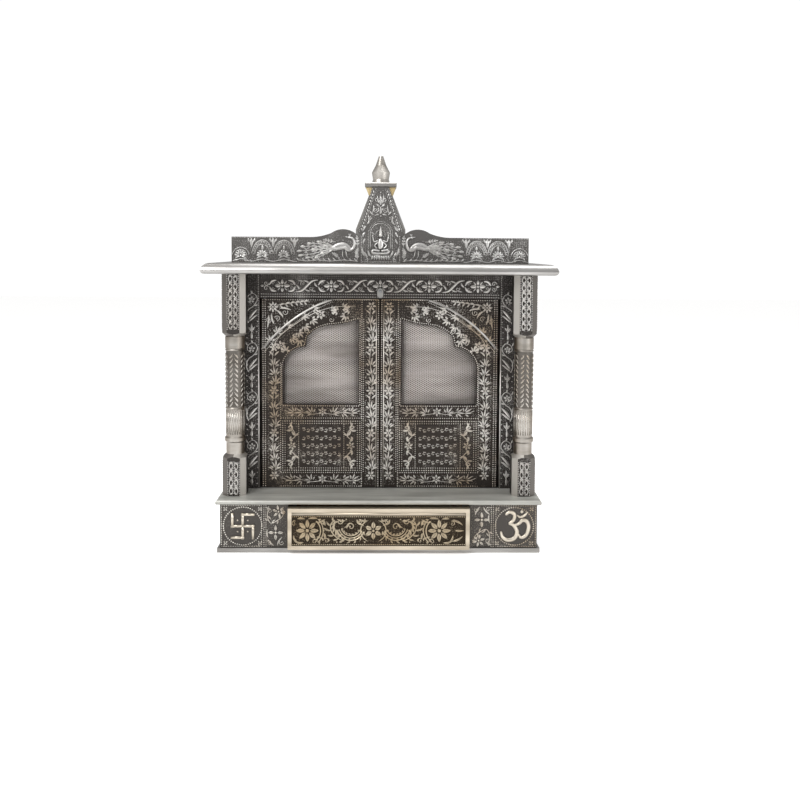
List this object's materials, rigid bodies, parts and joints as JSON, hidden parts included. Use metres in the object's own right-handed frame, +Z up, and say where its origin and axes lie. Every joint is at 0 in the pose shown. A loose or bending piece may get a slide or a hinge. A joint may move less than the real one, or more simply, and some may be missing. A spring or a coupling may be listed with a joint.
{
  "type": "pooja mandir",
  "caption": "Household shrine cabinet with mesh-windowed doors, porch columns, a drawer, a bullnosed cornice and a parapet with a small spire.",
  "frame": {"origin": "on the floor, at the middle of the bounding box in plan, with the drawer slightly open", "axes": "+Z up, the doors and drawer face -Y, +X to the right of someone facing the doors"},
  "size_m": [0.46, 0.238, 0.5215],
  "materials": {
    "embossed_metal": "oxidised embossed sheet, dark in the ground and bright on the relief",
    "plain_metal": "plain satin sheet",
    "mesh_metal": "finely perforated sheet",
    "drawer_metal": "warm satin border round dark embossed sheet",
    "bare_wood": "bare unvarnished board",
    "steel": "bright wire"
  },
  "bodies": {
    "cabinet": {"plinth_board": "plain_metal", "base_back": "bare_wood", "shelf_board": "plain_metal", "back_board": "bare_wood", "lintel": "embossed_metal", "pivot_pins": "steel", "cornice_board": "plain_metal", "spire_core": "plain_metal", "spire_panel": "embossed_metal", "spire_block": "bare_wood", "spire_plate": "plain_metal", "finial": "plain_metal", "button_nail": "steel", "base_front_left": "embossed_metal", "base_front_right": "embossed_metal", "base_side_left": "embossed_metal", "base_side_right": "embossed_metal", "drawer_guide_left": "bare_wood", "drawer_guide_right": "bare_wood", "side_wall_left": "embossed_metal", "side_wall_right": "embossed_metal", "jamb_left": "embossed_metal", "jamb_right": "embossed_metal", "column_base_left": "embossed_metal", "column_base_right": "embossed_metal", "column_shaft_left": "embossed_metal", "column_shaft_right": "embossed_metal", "column_capital_left": "embossed_metal", "column_capital_right": "embossed_metal", "crest_left": "embossed_metal", "crest_right": "embossed_metal"},
    "door_left": {"door_frame_left": "embossed_metal", "door_mesh_left": "mesh_metal", "door_panel_left": "embossed_metal", "door_rib_left": "plain_metal"},
    "door_right": {"door_frame_right": "embossed_metal", "door_mesh_right": "mesh_metal", "door_panel_right": "embossed_metal", "door_rib_right": "plain_metal"},
    "button": {"turn_button": "plain_metal"},
    "drawer": {"drawer_front": "drawer_metal", "drawer_back": "bare_wood", "drawer_floor": "bare_wood", "drawer_side_left": "bare_wood", "drawer_side_right": "bare_wood"}
  },
  "joints": [
    {"name": "door_left_hinge", "type": "hinge", "parent": "cabinet", "child": "door_left", "pos_m": [-0.1565, -0.0458, 0.07], "axis": [0, 0, -1], "range_deg": [0, 95]},
    {"name": "door_right_hinge", "type": "hinge", "parent": "cabinet", "child": "door_right", "pos_m": [0.1565, -0.0458, 0.07], "axis": [0, 0, 1], "range_deg": [0, 95]},
    {"name": "button_turn", "type": "hinge", "parent": "cabinet", "child": "button", "pos_m": [0, -0.0523, 0.3383], "axis": [0, 1, 0], "range_deg": [-90, 90]},
    {"name": "drawer_slide", "type": "slide", "parent": "cabinet", "child": "drawer", "axis": [0, -1, 0], "range_m": [-0.013, 0.11]}
  ]
}
